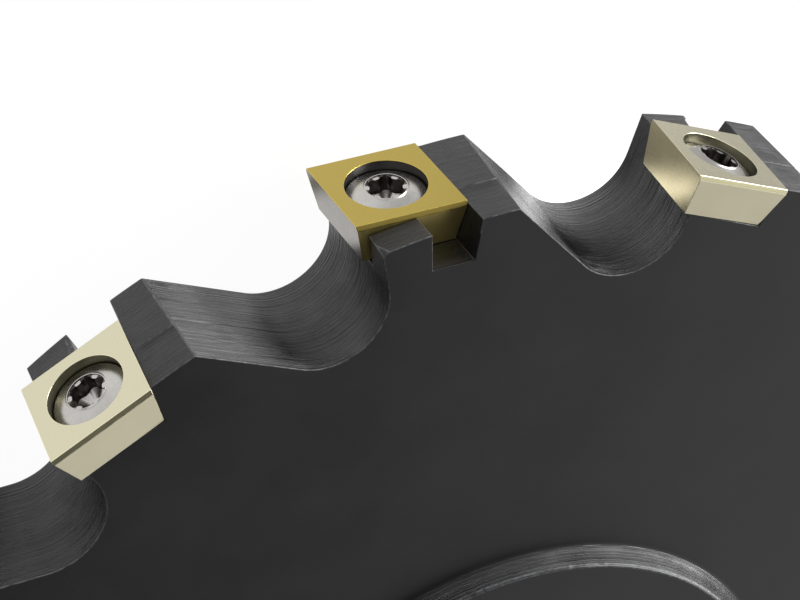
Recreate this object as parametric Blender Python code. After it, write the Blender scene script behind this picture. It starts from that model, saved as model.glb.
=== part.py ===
"""Indexable side and face cutter: a keyed steel disc whose teeth carry inserts screwed down on the rim.

Metres, +Z up. The disc lies on its lower hub face, with the axis on +Z and the origin at the centre of
that face. It cuts anticlockwise seen from above. Teeth alternate: an upper tooth holds its insert at the
upper side of the disc and keeps a backing block at the lower side, and a lower tooth is its mirror image.

Each tooth is drawn in its own frame: x leads in the cutting direction, y is the disc's axis (up) and
z is radial. The seat frame is the tooth's frame moved to the middle of the insert's top face and tipped
by the clearance angle, so that z is the normal of that face and the axis of its screw.
"""

import math

import bmesh
import bpy
from mathutils import Matrix, Vector

MM = 0.001

# Disc
CUTTING_DIAMETER = 160 * MM     # over the leading corners of the inserts
CUTTING_WIDTH = 16 * MM         # over the side edges of both rows of inserts
TEETH = 14                      # an even number, because upper and lower teeth alternate
CORNER_STAND = 1.5 * MM         # the inserts' leading corners stand this far over the turned rim
SIDE_STAND = 1 * MM             # and their side edges this far over the disc's faces
RIM_STEP = 0.1 * MM             # the upper band of the rim is turned smaller by this much
RIM_STEP_DEPTH = 5.6 * MM       # width of that band, from the upper face

# Hub
HUB_RISE = 2 * MM               # of each hub face over the disc's face
HUB_FACE_DIAMETER = 64 * MM     # of its flat clamping face
HUB_LEAN = 1.2 * MM             # its wall leans out by this much towards its foot
HUB_FOOT_FILLET = 0.5 * MM
BORE_DIAMETER = 40 * MM
BORE_CHAMFER = 1 * MM
KEY_WIDTH = 10 * MM
KEYWAY_DEPTH = 3.5 * MM         # of the keyway's floor beyond the top of the bore

# Gullet in front of each tooth
GULLET_RADIUS = 6.5 * MM
GULLET_CENTRE_DEPTH = 4.7 * MM      # of the arc's centre below the rim, along the tooth
INSERT_OVERHANG = 1.2 * MM          # the insert's leading end reaches past the gullet's steep flank
HEEL_LAND = 4.5 * MM                # rim behind the insert, back to the next gullet
GULLET_SKEW = math.radians(2.5)     # of the milled gullet to the disc's axis

# Insert
INSERT_LENGTH = 11.6 * MM       # along its side edges, at the top face
INSERT_WIDTH = 11.6 * MM        # along its leading edge, over both side facets
INSERT_THICKNESS = 4.76 * MM
INSERT_CORNER = math.radians(85)
INSERT_RELIEF = math.radians(11)    # taper of all four sides towards the seat
FACET_WIDTH = 0.2 * MM              # narrow facet along the two side edges
FACET_DEPTH = 0.5 * MM
AXIAL_RAKE = math.radians(3.3)      # the leading edge against the disc's axis
CLEARANCE = math.radians(6.5)       # the top face falls away behind the leading edge

# Pocket
SEAT_GAP = 0.25 * MM            # between the insert and its seat, walls and screw
BLOCK_TAIL = 0.45 * MM          # the backing block ends this far behind the tooth's middle
BLOCK_BEVEL_LENGTH = 0.8 * MM   # small bevel on the block's leading outer corner, along the rim
BLOCK_BEVEL_WIDTH = 2 * MM      # across the block
BLOCK_BEVEL_DEPTH = 0.5 * MM

# Clamping screw, M5 with a six-lobe recess
SCREW_DIAMETER = 5 * MM
SCREW_LENGTH = 13.5 * MM        # from the insert's top face to the screw's tip
HEAD_DIAMETER = 7.75 * MM
HEAD_RIM_DEPTH = 1.1 * MM       # the head's outer edge below the insert's top face
HEAD_RIM_WIDTH = 0.25 * MM
HEAD_CREST_DEPTH = 0.25 * MM    # the recess's mouth below the insert's top face
HEAD_CONE = math.radians(30)    # half angle under the head
RECESS_LOBES = 3.95 * MM        # across opposite lobes
RECESS_FLANKS = 2.85 * MM       # across opposite flanks
RECESS_DEPTH = 2 * MM
RECESS_CHAMFER = 0.2 * MM
MOUTH_SPREAD = 0.175 * MM       # the recess's round mouth stands this far outside its lobes
RECESS_LOBE_COUNT = 6
DOME_SPREAD = 0.45              # the dome's middle ring, as a share of the way out to the head's rim
DOME_DROP = 0.36                # and of the way down to it
TIP_CHAMFER = 0.6 * MM
HOLE_EXTRA_DEPTH = 1 * MM
DRILL_POINT = math.radians(59)  # half angle of the drilled hole's floor

# Facets
DISC_SEGMENTS = 8 * TEETH
GULLET_SEGMENTS = 12
ROUND_SEGMENTS = 24
HOLE_SEGMENTS = 16
FILLET_SEGMENTS = 2
OVERRUN = 3 * MM                # how far a cutter runs past the face it opens
BEVEL_CUTTER_SCALE = 2          # the bevel's cutter is this many times the bevel's own size

BODY_RADIUS = CUTTING_DIAMETER / 2 - CORNER_STAND
BODY_THICKNESS = CUTTING_WIDTH - 2 * SIDE_STAND
HUB_WIDTH = BODY_THICKNESS + 2 * HUB_RISE
MIDDLE = HUB_WIDTH / 2
LOWER_FACE = MIDDLE - BODY_THICKNESS / 2
UPPER_FACE = MIDDLE + BODY_THICKNESS / 2
PITCH = 2 * math.pi / TEETH
SIDE_DISH = math.pi / 2 - INSERT_CORNER - AXIAL_RAKE    # side edges fall away from the disc's plane
FLANK_LEAD = INSERT_LENGTH / 2 - INSERT_OVERHANG        # ahead of the tooth's middle
HEEL_LENGTH = INSERT_LENGTH / 2 + HEEL_LAND             # behind the tooth's middle, along the rim
HEAD_RADIUS = HEAD_DIAMETER / 2
SCREW_RADIUS = SCREW_DIAMETER / 2
MOUTH_RADIUS = RECESS_LOBES / 2 + MOUTH_SPREAD


def insert_point(along, across, depth, hand):
    """A point of the insert in its seat frame, on axes that follow its side edge and its leading edge."""
    x = along * math.cos(SIDE_DISH) + across * math.sin(AXIAL_RAKE)
    y = along * math.sin(SIDE_DISH) + across * math.cos(AXIAL_RAKE)
    return Vector((x, hand * y, -depth))


def seat_height():
    """Height of the insert's top middle over the disc's axis, with its corner on the cutting circle."""
    corner = insert_point(INSERT_LENGTH / 2, INSERT_WIDTH / 2 - FACET_WIDTH, 0, 1)
    lead = corner.x * math.cos(CLEARANCE)
    return math.sqrt((CUTTING_DIAMETER / 2) ** 2 - lead ** 2) - corner.x * math.sin(CLEARANCE)


def seat_offset():
    """Distance of the insert's middle from the disc's middle plane, with its edge on the cutting width."""
    lead_end = INSERT_LENGTH / 2 - FACET_DEPTH * math.tan(INSERT_RELIEF)
    return CUTTING_WIDTH / 2 - insert_point(lead_end, INSERT_WIDTH / 2, FACET_DEPTH, 1).y


def hand_of(tooth):
    """1 for an upper tooth and -1 for a lower one."""
    return 1 if tooth % 2 == 0 else -1


def tooth_frame(tooth):
    """Frame of a tooth on the disc's axis at mid thickness: x leads, y is up, z is radial."""
    turn = Matrix.Rotation((tooth + 0.5) * PITCH - math.pi / 2, 4, "Z")
    axes = Matrix(((0, 0, 1, 0), (1, 0, 0, 0), (0, 1, 0, 0), (0, 0, 0, 1)))
    return Matrix.Translation((0, 0, MIDDLE)) @ turn @ axes


def seat_frame(tooth):
    """Frame on the middle of the insert's top face, with z along the clamping screw."""
    place = Matrix.Translation((0, hand_of(tooth) * seat_offset(), seat_height()))
    return tooth_frame(tooth) @ place @ Matrix.Rotation(-CLEARANCE, 4, "Y")


def material(name, colour, metallic, roughness):
    made = bpy.data.materials.new(name)
    made.use_nodes = True
    shader = made.node_tree.nodes["Principled BSDF"]
    shader.inputs["Base Color"].default_value = (*colour, 1)
    shader.inputs["Metallic"].default_value = metallic
    shader.inputs["Roughness"].default_value = roughness
    return made


def add_object(name, mesh, finish=None, frame=None):
    made = bpy.data.objects.new(name, mesh)
    bpy.context.scene.collection.objects.link(made)
    if finish and not mesh.materials:
        mesh.materials.append(finish)
    if frame:
        made.location = frame.to_translation()
        made.rotation_euler = frame.to_euler()
    return made


def finish_mesh(bm, name):
    """A mesh from a bmesh, with its faces pointing out and its round walls shaded smooth."""
    bmesh.ops.recalc_face_normals(bm, faces=bm.faces)
    mesh = bpy.data.meshes.new(name)
    bm.to_mesh(mesh)
    bm.free()
    mesh.shade_smooth()
    mesh.set_sharp_from_angle(angle=math.radians(25))
    return mesh


def add_rings(bm, rings):
    """Join loops of points, first to last, into one closed body with a flat cap at each end."""
    loops = [[bm.verts.new(point) for point in ring] for ring in rings]
    bm.faces.new(loops[0])
    for lower, upper in zip(loops, loops[1:]):
        for i in range(len(lower)):
            j = (i + 1) % len(lower)
            bm.faces.new((lower[i], lower[j], upper[j], upper[i]))
    bm.faces.new(loops[-1])


def lathe(bm, profile, segments):
    """Spin a closed profile of radius and height about Z. A radius of 0 makes a pole."""
    points = [bm.verts.new((radius, 0, height)) for radius, height in profile]
    edges = [bm.edges.new(pair) for pair in zip(points, points[1:] + points[:1])
             if pair[0].co.x > 0 or pair[1].co.x > 0]
    bmesh.ops.spin(bm, geom=points + edges, cent=(0, 0, 0), axis=(0, 0, 1), angle=2 * math.pi,
                   steps=segments, use_merge=True)
    bmesh.ops.remove_doubles(bm, verts=bm.verts, dist=0.001 * MM)


def add_cutter(name, bm):
    """A hidden body that a Boolean takes away."""
    cutter = add_object(name, finish_mesh(bm, name))
    cutter.hide_render = True
    cutter.display_type = "WIRE"
    return cutter


def cut(target, cutter):
    modifier = target.modifiers.new(cutter.name, "BOOLEAN")
    modifier.operation = "DIFFERENCE"
    modifier.solver = "EXACT"
    modifier.object = cutter


def settle(target):
    """Replace the target's mesh by its evaluated one, so that copies can share it."""
    evaluated = target.evaluated_get(bpy.context.evaluated_depsgraph_get())
    mesh = bpy.data.meshes.new_from_object(evaluated)
    target.modifiers.clear()
    target.data = mesh
    return mesh


def hub_profile(face, outward):
    """Half of the raised hub's outline on one side of the disc, from the disc's face in to the bore."""
    hub_face = MIDDLE + outward * HUB_WIDTH / 2
    top = HUB_FACE_DIAMETER / 2
    foot = top + HUB_LEAN
    bore = BORE_DIAMETER / 2
    points = []
    for step in range(FILLET_SEGMENTS + 1):
        t = step / FILLET_SEGMENTS
        slide = (1 - t) ** 2
        rise = t ** 2 * HUB_FOOT_FILLET
        lean = HUB_LEAN * rise / HUB_RISE
        points.append((foot + slide * HUB_FOOT_FILLET - lean, face + outward * rise))
    points.append((top, hub_face))
    points.append((bore + BORE_CHAMFER, hub_face))
    points.append((bore, hub_face - outward * BORE_CHAMFER))
    return points


def body_blank():
    """The turned disc with its two hub faces, its bore and the small step on its rim."""
    upper = hub_profile(UPPER_FACE, 1)
    lower = hub_profile(LOWER_FACE, -1)
    step = UPPER_FACE - RIM_STEP_DEPTH
    rim = [(BODY_RADIUS, LOWER_FACE), (BODY_RADIUS, step),
           (BODY_RADIUS - RIM_STEP, step), (BODY_RADIUS - RIM_STEP, UPPER_FACE)]
    bm = bmesh.new()
    lathe(bm, rim + upper + lower[::-1], DISC_SEGMENTS)
    return finish_mesh(bm, "cutter_body")


def gullet_section():
    """Outline of the gullet across the disc: lead and radial height in the tooth's frame.

    It falls down the steep flank into a round floor, then runs up the tangent to the heel of the
    tooth ahead.
    """
    turn = PITCH - HEEL_LENGTH / BODY_RADIUS
    heel = Vector((BODY_RADIUS * math.sin(turn), BODY_RADIUS * math.cos(turn)))
    centre = Vector((FLANK_LEAD + GULLET_RADIUS, BODY_RADIUS - GULLET_CENTRE_DEPTH))
    reach = heel - centre
    tangent = math.atan2(reach.y, reach.x) - math.acos(GULLET_RADIUS / reach.length)
    outline = []
    for step in range(GULLET_SEGMENTS + 1):
        angle = math.pi + (tangent + math.pi) * step / GULLET_SEGMENTS
        outline.append(centre + GULLET_RADIUS * Vector((math.cos(angle), math.sin(angle))))
    wall = (heel - outline[-1]).normalized()
    outline.append(heel + wall * OVERRUN)
    clear = BODY_RADIUS + 2 * OVERRUN
    outline.append(Vector((outline[-1].x, clear)))
    outline.append(Vector((FLANK_LEAD, clear)))
    return outline


def add_gullet(bm, tooth):
    """The gullet ahead of a tooth, milled at a skew that puts the insert's side ahead."""
    frame = tooth_frame(tooth)
    reach = BODY_THICKNESS / 2 + OVERRUN
    rings = []
    for side in (-reach, reach):
        shift = hand_of(tooth) * side * math.tan(GULLET_SKEW)
        rings.append([frame @ Vector((lead + shift, side, height)) for lead, height in gullet_section()])
    add_rings(bm, rings)


def add_pocket(bm, tooth):
    """The milled pocket: a flat seat, a wall behind the insert, and a slot past the backing block."""
    frame = seat_frame(tooth)
    back = -INSERT_LENGTH / 2 - SEAT_GAP
    block = -INSERT_WIDTH / 2 - SEAT_GAP
    ahead = INSERT_LENGTH
    outside = BODY_THICKNESS
    plan = [(back, outside), (back, -outside), (-BLOCK_TAIL, -outside),
            (-BLOCK_TAIL, block), (ahead, block), (ahead, outside)]
    floor = INSERT_THICKNESS + SEAT_GAP
    rings = [[frame @ insert_point(along, across, depth, hand_of(tooth)) for along, across in plan]
             for depth in (floor, -2 * OVERRUN)]
    add_rings(bm, rings)


def add_block_bevel(bm, tooth):
    """A small three-sided bevel on the leading outer corner of the backing block."""
    frame = tooth_frame(tooth)
    hand = hand_of(tooth)
    face = -BODY_THICKNESS / 2
    lead = FLANK_LEAD + face * math.tan(GULLET_SKEW)
    top = math.sqrt(BODY_RADIUS ** 2 - lead ** 2)
    corner = Vector((lead, face, top))
    slope = [corner - Vector((BLOCK_BEVEL_LENGTH, 0, 0)), corner + Vector((0, BLOCK_BEVEL_WIDTH, 0)),
             corner - Vector((0, 0, BLOCK_BEVEL_DEPTH))]
    centre = (slope[0] + slope[1] + slope[2]) / 3
    spread = [centre + (point - centre) * BEVEL_CUTTER_SCALE for point in slope]
    apex = centre + (corner - centre) * 2 * BEVEL_CUTTER_SCALE
    base = [frame @ Vector((p.x, hand * p.y, p.z)) for p in spread]
    tip = frame @ Vector((apex.x, hand * apex.y, apex.z))
    points = [bm.verts.new(p) for p in (*base, tip)]
    for a, b, c in ((0, 1, 2), (0, 1, 3), (1, 2, 3), (2, 0, 3)):
        bm.faces.new((points[a], points[b], points[c]))


def add_screw_hole(bm, tooth):
    """The tapped hole at its full thread diameter, with a drill point at its end."""
    radius = SCREW_RADIUS + SEAT_GAP
    floor = SCREW_LENGTH + HOLE_EXTRA_DEPTH
    start = len(bm.verts)
    lathe(bm, [(0, -floor - radius / math.tan(DRILL_POINT)), (radius, -floor),
               (radius, -INSERT_THICKNESS + OVERRUN), (0, -INSERT_THICKNESS + OVERRUN)], HOLE_SEGMENTS)
    bm.verts.ensure_lookup_table()
    bmesh.ops.transform(bm, matrix=seat_frame(tooth), verts=bm.verts[start:])


def keyway():
    """The slot for the arbor's key, through the bore's wall."""
    bm = bmesh.new()
    floor = BORE_DIAMETER / 2 + KEYWAY_DEPTH
    half = KEY_WIDTH / 2
    section = [(-half, 0), (half, 0), (half, floor), (-half, floor)]
    add_rings(bm, [[(x, y, z) for x, y in section] for z in (-OVERRUN, HUB_WIDTH + OVERRUN)])
    return add_cutter("keyway_cutter", bm)


def milled(name, add_one):
    """One cutter made of the same milling pass on every tooth."""
    whole = bmesh.new()
    for tooth in range(TEETH):
        one = bmesh.new()
        add_one(one, tooth)
        piece = bpy.data.meshes.new("pass")
        bmesh.ops.recalc_face_normals(one, faces=one.faces)
        one.to_mesh(piece)
        one.free()
        whole.from_mesh(piece)
        bpy.data.meshes.remove(piece)
    return add_cutter(name, whole)


def make_body(finish):
    body = add_object("cutter_body", body_blank(), finish)
    cut(body, keyway())
    cut(body, milled("gullet_cutters", add_gullet))
    cut(body, milled("pocket_cutters", add_pocket))
    cut(body, milled("bevel_cutters", add_block_bevel))
    cut(body, milled("screw_hole_cutters", add_screw_hole))
    return body


def insert_blank(hand):
    """The insert without its hole: tapered on four sides, with a facet along both side edges."""
    taper = math.tan(INSERT_RELIEF)
    half_length = INSERT_LENGTH / 2
    half_width = INSERT_WIDTH / 2
    below_facet = INSERT_THICKNESS - FACET_DEPTH
    levels = [(half_length - INSERT_THICKNESS * taper, half_width - below_facet * taper, INSERT_THICKNESS),
              (half_length - FACET_DEPTH * taper, half_width, FACET_DEPTH),
              (half_length, half_width - FACET_WIDTH, 0)]
    signs = ((1, 1), (-1, 1), (-1, -1), (1, -1))
    bm = bmesh.new()
    add_rings(bm, [[insert_point(a * length, b * width, depth, hand) for a, b in signs]
                   for length, width, depth in levels])
    return finish_mesh(bm, "insert")


def countersink():
    """The insert's round opening, its cone and its through hole, all a gap wider than the screw."""
    bm = bmesh.new()
    opening = HEAD_RADIUS + SEAT_GAP
    hole = SCREW_RADIUS + SEAT_GAP
    # lowered so that the gap is the same square to the screw's own cone
    cone_top = HEAD_RIM_DEPTH + HEAD_RIM_WIDTH + SEAT_GAP * math.tan(HEAD_CONE / 2)
    cone_end = cone_top + (opening - hole) / math.tan(HEAD_CONE)
    lathe(bm, [(0, OVERRUN), (opening, OVERRUN), (opening, -cone_top), (hole, -cone_end),
               (hole, -INSERT_THICKNESS - OVERRUN), (0, -INSERT_THICKNESS - OVERRUN)], ROUND_SEGMENTS)
    return add_cutter("countersink_cutter", bm)


def make_insert_mesh(hand, finish):
    pattern = add_object("insert_pattern", insert_blank(hand), finish)
    cutter = countersink()
    cut(pattern, cutter)
    mesh = settle(pattern)
    mesh.name = "insert_upper" if hand > 0 else "insert_lower"
    bpy.data.objects.remove(pattern)
    bpy.data.objects.remove(cutter)
    return mesh


def recess_ring(scale, depth):
    """Six-lobe outline, as a smooth wave between the lobes and the flanks."""
    middle = (RECESS_LOBES + RECESS_FLANKS) / 4
    wave = (RECESS_LOBES - RECESS_FLANKS) / 4
    ring = []
    for step in range(ROUND_SEGMENTS):
        angle = 2 * math.pi * step / ROUND_SEGMENTS
        radius = (middle + wave * math.cos(RECESS_LOBE_COUNT * angle)) * scale
        ring.append(Vector((radius * math.cos(angle), radius * math.sin(angle), -depth)))
    return ring


def round_ring(radius, depth):
    angles = [2 * math.pi * step / ROUND_SEGMENTS for step in range(ROUND_SEGMENTS)]
    return [Vector((radius * math.cos(a), radius * math.sin(a), -depth)) for a in angles]


def make_screw_mesh(finish):
    """The clamping screw from its tip up to its domed head and down into the six-lobe recess."""
    head_foot = HEAD_RIM_DEPTH + HEAD_RIM_WIDTH
    neck = head_foot + (HEAD_RADIUS - SCREW_RADIUS) / math.tan(HEAD_CONE)
    shoulder_radius = MOUTH_RADIUS + DOME_SPREAD * (HEAD_RADIUS - MOUTH_RADIUS)
    shoulder_depth = HEAD_CREST_DEPTH + DOME_DROP * (HEAD_RIM_DEPTH - HEAD_CREST_DEPTH)
    recess_floor = HEAD_CREST_DEPTH + RECESS_DEPTH
    bm = bmesh.new()
    add_rings(bm, [
        round_ring(SCREW_RADIUS - TIP_CHAMFER, SCREW_LENGTH),
        round_ring(SCREW_RADIUS, SCREW_LENGTH - TIP_CHAMFER),
        round_ring(SCREW_RADIUS, neck),
        round_ring(HEAD_RADIUS, head_foot),
        round_ring(HEAD_RADIUS, HEAD_RIM_DEPTH),
        round_ring(shoulder_radius, shoulder_depth),
        round_ring(MOUTH_RADIUS, HEAD_CREST_DEPTH),
        recess_ring(1, HEAD_CREST_DEPTH + RECESS_CHAMFER),
        recess_ring(1, recess_floor),
        recess_ring(0.5, recess_floor + RECESS_CHAMFER),
    ])
    mesh = finish_mesh(bm, "clamp_screw")
    mesh.materials.append(finish)
    return mesh


def main():
    for old in list(bpy.data.objects):
        bpy.data.objects.remove(old)
    blackened = material("blackened_steel", (0.03, 0.03, 0.032), 0.6, 0.42)
    champagne = material("champagne_carbide", (0.55, 0.52, 0.36), 0.7, 0.3)
    gold = material("gold_carbide", (0.48, 0.34, 0.09), 0.8, 0.28)
    bright = material("bright_steel", (0.6, 0.59, 0.57), 1.0, 0.25)

    assembly = bpy.data.objects.new("side_and_face_cutter", None)
    bpy.context.scene.collection.objects.link(assembly)
    make_body(blackened).parent = assembly
    insert_meshes = {1: make_insert_mesh(1, champagne), -1: make_insert_mesh(-1, gold)}
    screw_mesh = make_screw_mesh(bright)
    for tooth in range(TEETH):
        frame = seat_frame(tooth)
        number = f"{tooth + 1:02d}"
        add_object(f"insert_{number}", insert_meshes[hand_of(tooth)], None, frame).parent = assembly
        add_object(f"clamp_screw_{number}", screw_mesh, None, frame).parent = assembly


main()
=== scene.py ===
# %% [markdown]
# # Dressing an indexable side and face cutter
#
# A side and face cutter is a steel disc that cuts slots. Ours has fourteen teeth, and each tooth carries a
# carbide insert that lies on the rim, held by one screw. The disc is turned on a lathe, milled, and then
# blackened. The inserts are ground and coated: champagne on the upper side, gold on the lower one.
#
# A plain model of every piece already exists. This lesson loads it as a fixed frame, makes each piece again
# with the fine shape and the finish of the real one, and puts it exactly where the plain one is.

# %% The frame
import math

import bmesh
import bpy
from mathutils import Matrix, Vector


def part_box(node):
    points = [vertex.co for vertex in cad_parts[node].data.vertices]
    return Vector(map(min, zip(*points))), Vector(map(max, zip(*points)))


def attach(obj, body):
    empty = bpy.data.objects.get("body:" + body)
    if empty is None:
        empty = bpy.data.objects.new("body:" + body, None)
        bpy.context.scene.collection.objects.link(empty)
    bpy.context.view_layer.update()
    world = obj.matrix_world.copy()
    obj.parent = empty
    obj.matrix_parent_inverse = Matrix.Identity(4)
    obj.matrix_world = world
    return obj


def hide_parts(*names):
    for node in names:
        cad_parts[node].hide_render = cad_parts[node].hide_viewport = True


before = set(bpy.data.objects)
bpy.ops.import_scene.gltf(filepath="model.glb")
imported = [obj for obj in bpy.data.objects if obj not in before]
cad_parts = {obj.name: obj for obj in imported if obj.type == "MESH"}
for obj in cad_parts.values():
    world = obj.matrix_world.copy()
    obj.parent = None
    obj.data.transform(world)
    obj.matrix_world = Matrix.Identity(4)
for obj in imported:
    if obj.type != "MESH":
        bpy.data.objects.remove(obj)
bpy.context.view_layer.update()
print("pieces in the frame:", len(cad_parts))

# %% [markdown]
# ## The sizes that everything follows
#
# A maker keeps the sizes of a tool on one sheet, and so do we. They are the sizes of the plain model, so
# the new pieces fit where the old ones were. The small rounds are added here, because the plain model
# leaves them out: a real edge is never perfectly sharp, and it is the round on it that catches the light.

# %% Sizes of the disc and its gullets
MM = 0.001
CUTTING_DIAMETER = 160 * MM
CUTTING_WIDTH = 16 * MM
TEETH = 14
RIM_RADIUS = CUTTING_DIAMETER / 2 - 1.5 * MM
DISC_THICKNESS = CUTTING_WIDTH - 2 * MM
RIM_STEP = 0.1 * MM
RIM_STEP_DEPTH = 5.6 * MM
HUB_RISE = 2 * MM
HUB_FACE_RADIUS = 32 * MM
HUB_LEAN = 1.2 * MM
HUB_FOOT_FILLET = 0.5 * MM
HUB_EDGE = 0.15 * MM
BORE_RADIUS = 20 * MM
BORE_CHAMFER = 1 * MM
KEY_WIDTH = 10 * MM
KEYWAY_DEPTH = 3.5 * MM
GULLET_RADIUS = 6.5 * MM
GULLET_CENTRE_DEPTH = 4.7 * MM
HEEL_LAND = 4.5 * MM
INSERT_OVERHANG = 1.2 * MM
GULLET_SKEW = math.radians(2.5)
EDGE_ROUND = 0.1 * MM

MIDDLE = DISC_THICKNESS / 2 + HUB_RISE
PITCH = 2 * math.pi / TEETH
print("disc", round(2 * RIM_RADIUS / MM, 1), "mm across,", round(DISC_THICKNESS / MM, 1), "mm thick")

# %% Sizes of the inserts, pockets and screws
INSERT_LENGTH = 11.6 * MM
INSERT_WIDTH = 11.6 * MM
INSERT_THICKNESS = 4.76 * MM
INSERT_CORNER = math.radians(85)
INSERT_RELIEF = math.radians(11)
FACET_WIDTH = 0.2 * MM
FACET_DEPTH = 0.5 * MM
AXIAL_RAKE = math.radians(3.3)
CLEARANCE = math.radians(6.5)
SIDE_DISH = math.pi / 2 - INSERT_CORNER - AXIAL_RAKE
SEAT_GAP = 0.25 * MM
SNUG = 0.04 * MM
SLIVER = 0.09 * MM
CRISP_SHARE = 0.4
BLOCK_TAIL = 0.45 * MM
BLOCK_BEVEL = Vector((0.8, 2, 0.5)) * MM
BLOCK_END_BEVEL = 0.6 * MM
SCREW_RADIUS = 2.5 * MM
SCREW_LENGTH = 13.5 * MM
HOLE_EXTRA_DEPTH = 1 * MM
DRILL_POINT = math.radians(59)
HEAD_RADIUS = 4.05 * MM
OPENING_RADIUS = 4.125 * MM
HEAD_RIM_DEPTH = 1.1 * MM
HEAD_RIM_WIDTH = 0.25 * MM
HEAD_FOOT = HEAD_RIM_DEPTH + HEAD_RIM_WIDTH
HEAD_CREST_DEPTH = 0.25 * MM
HEAD_CONE = math.radians(30)
RUN_OUT = 3 * MM

FLANK_LEAD = INSERT_LENGTH / 2 - INSERT_OVERHANG
HEEL_LENGTH = INSERT_LENGTH / 2 + HEEL_LAND

# %% [markdown]
# ## Two frames to think in
#
# Every tooth looks the same from its own place, so it pays to model one tooth at the origin and send copies
# round the disc. In a tooth's frame X leads in the cutting direction, Y runs along the disc's axis and Z is
# radial. The seat frame sits on the middle of an insert's top face and leans back by the clearance angle.
# Upper and lower teeth are mirror images, so a hand of 1 or -1 goes with each of them.

# %% Frames of a tooth and of its seat
def insert_axes(hand):
    """The insert's own directions, along its side edge and across its leading edge, in its seat frame."""
    along = Vector((math.cos(SIDE_DISH), hand * math.sin(SIDE_DISH), 0))
    across = Vector((math.sin(AXIAL_RAKE), hand * math.cos(AXIAL_RAKE), 0))
    return Matrix((along, across, Vector((0, 0, 1)))).transposed().to_4x4()


def hand_of(tooth):
    return 1 if tooth % 2 == 0 else -1


def tooth_frame(tooth):
    turn = Matrix.Rotation((tooth + 0.5) * PITCH - math.pi / 2, 4, "Z")
    axes = Matrix(((0, 0, 1, 0), (1, 0, 0, 0), (0, 1, 0, 0), (0, 0, 0, 1)))
    return Matrix.Translation((0, 0, MIDDLE)) @ turn @ axes


def seat_frame(tooth):
    corner = insert_axes(1) @ Vector((INSERT_LENGTH / 2, INSERT_WIDTH / 2 - FACET_WIDTH, 0))
    lead = corner.x * math.cos(CLEARANCE)
    height = math.sqrt((CUTTING_DIAMETER / 2) ** 2 - lead ** 2) - corner.x * math.sin(CLEARANCE)
    lead_end = INSERT_LENGTH / 2 - FACET_DEPTH * math.tan(INSERT_RELIEF)
    offset = CUTTING_WIDTH / 2 - (insert_axes(1) @ Vector((lead_end, INSERT_WIDTH / 2, 0))).y
    place = Matrix.Translation((0, hand_of(tooth) * offset, height))
    return tooth_frame(tooth) @ place @ Matrix.Rotation(-CLEARANCE, 4, "Y")


first_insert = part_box("insert_01")
print("first seat:", [round(value / MM, 2) for value in seat_frame(0).translation])
print("first insert's middle:", [round((low + high) / 2 / MM, 2) for low, high in zip(*first_insert)])

# %% [markdown]
# ## Working like a person at the keyboard
#
# Blender's operators act on what is selected, so each piece starts by clearing the selection. In edit mode
# we pick faces, edges or corners in code by where they are, and then move, extrude or bisect them as we
# would by hand.

# %% Helpers for selecting, cutting and placing
def begin():
    bpy.ops.object.select_all(action="DESELECT")


def settled(name=None, size=None):
    """The primitive that was just added, with its size and place moved into its mesh."""
    piece = bpy.context.object
    if name:
        piece.name = name
    if size:
        piece.scale = size
    bpy.ops.object.transform_apply(location=True, rotation=True, scale=True)
    return piece


def activate(piece):
    begin()
    piece.select_set(True)
    bpy.context.view_layer.objects.active = piece


def edit(piece):
    activate(piece)
    bpy.ops.object.mode_set(mode="EDIT")


def edit_whole(piece):
    edit(piece)
    bpy.ops.mesh.select_all(action="SELECT")


def leave_edit():
    bpy.ops.object.mode_set(mode="OBJECT")


def pick(piece, test, kind="FACE"):
    """Select, in edit mode, the faces, edges or corners whose middle passes the test."""
    bpy.ops.mesh.select_mode(type=kind)
    bpy.ops.mesh.select_all(action="DESELECT")
    bm = bmesh.from_edit_mesh(piece.data)
    bm.normal_update()
    group = {"FACE": bm.faces, "EDGE": bm.edges, "VERT": bm.verts}[kind]
    for part in group:
        if kind == "FACE":
            middle = part.calc_center_median()
        elif kind == "EDGE":
            middle = (part.verts[0].co + part.verts[1].co) / 2
        else:
            middle = part.co
        if test(middle, part):
            part.select_set(True)
    bmesh.update_edit_mesh(piece.data)


def bisect(place, normal, **choices):
    """Cut what is selected along a plane. The tool's own threshold is too coarse for this object."""
    bpy.ops.mesh.bisect(plane_co=place, plane_no=normal, threshold=0.001 * MM, **choices)


def extrude(move):
    bpy.ops.mesh.extrude_region_move(TRANSFORM_OT_translate={"value": move})


def resize(along, across=None):
    """Scale what is selected about the Z axis."""
    across = along if across is None else across
    bpy.ops.transform.resize(value=(along, across, 1), center_override=(0, 0, 0))


def outward(piece):
    edit_whole(piece)
    bpy.ops.mesh.normals_make_consistent(inside=False)
    leave_edit()


def placed(piece, matrix):
    """Put a finished shape at its place by moving its mesh, so that its object stays at the origin."""
    piece.data.transform(matrix)
    piece.data.update()
    outward(piece)
    return piece


def paint(piece, slot, test):
    """Give the faces that pass the test another of the piece's material slots."""
    edit(piece)
    pick(piece, test)
    piece.active_material_index = slot
    bpy.ops.object.material_slot_assign()
    leave_edit()


def copy_of(piece, name):
    twin = piece.copy()
    twin.data = piece.data.copy()
    twin.name = name
    twin.data.name = name
    bpy.context.collection.objects.link(twin)
    return twin


def joined(pieces, name):
    begin()
    for piece in pieces:
        piece.select_set(True)
    bpy.context.view_layer.objects.active = pieces[0]
    bpy.ops.object.join()
    pieces[0].name = name
    return pieces[0]


def modify(piece, kind, **settings):
    """Add a modifier, set it up and apply it."""
    modifier = piece.modifiers.new(kind.lower(), kind)
    for name, value in settings.items():
        setattr(modifier, name, value)
    activate(piece)
    bpy.ops.object.modifier_apply(modifier=modifier.name)


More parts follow.
